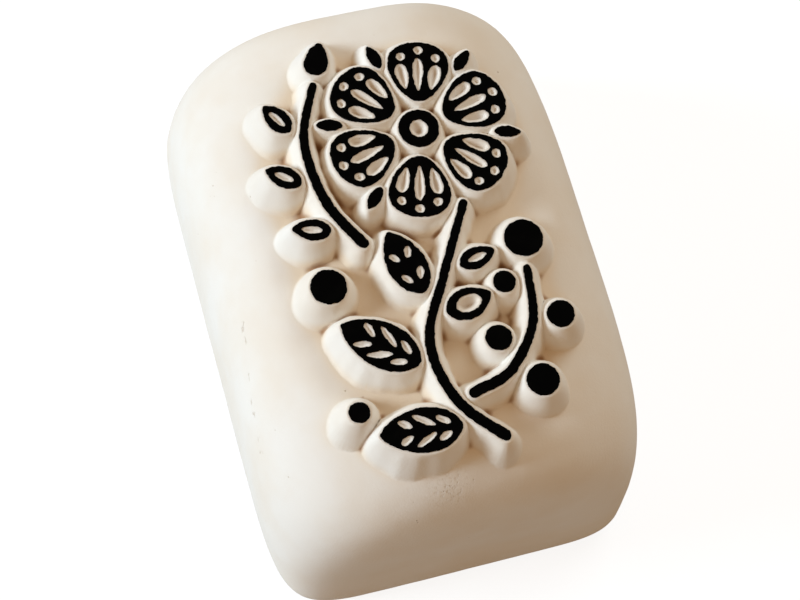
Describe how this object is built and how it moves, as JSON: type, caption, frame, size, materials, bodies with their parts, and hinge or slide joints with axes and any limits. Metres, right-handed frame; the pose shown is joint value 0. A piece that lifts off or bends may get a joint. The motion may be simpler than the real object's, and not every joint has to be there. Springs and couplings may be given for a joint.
{
  "type": "temporary tattoo stamp",
  "caption": "Palm-sized domed block of unglazed ceramic whose face carries a raised floral relief, inked black on its flat lands, for printing a temporary tattoo.",
  "frame": {"origin": "centre of the flat foot that the stone stands on", "axes": "+Z out of the printing face, +Y along the length towards the blossom's end, +X across the width"},
  "size_m": [0.05, 0.071, 0.0354],
  "materials": {
    "stone": "matte, unglazed, fine grained",
    "ink": "matte, dried"
  },
  "bodies": {
    "root": {"stone_body": "stone", "ink_petal_1": "ink", "ink_petal_2": "ink", "ink_petal_3": "ink", "ink_petal_4": "ink", "ink_petal_5": "ink", "ink_petal_6": "ink", "ink_sepal_1": "ink", "ink_sepal_2": "ink", "ink_sepal_3": "ink", "ink_sepal_4": "ink", "ink_sepal_5": "ink", "ink_flower_eye": "ink", "ink_main_stem": "ink", "ink_berry_stem": "ink", "ink_side_stem": "ink", "ink_leaf_1": "ink", "ink_leaf_2": "ink", "ink_leaf_3": "ink", "ink_leaf_4": "ink", "ink_small_leaf_1": "ink", "ink_small_leaf_2": "ink", "ink_small_leaf_3": "ink", "ink_small_leaf_4": "ink", "ink_bud": "ink", "ink_berry_1": "ink", "ink_berry_2": "ink", "ink_berry_3": "ink", "ink_berry_4": "ink", "ink_berry_5": "ink", "ink_berry_6": "ink", "ink_berry_7": "ink"}
  },
  "joints": []
}
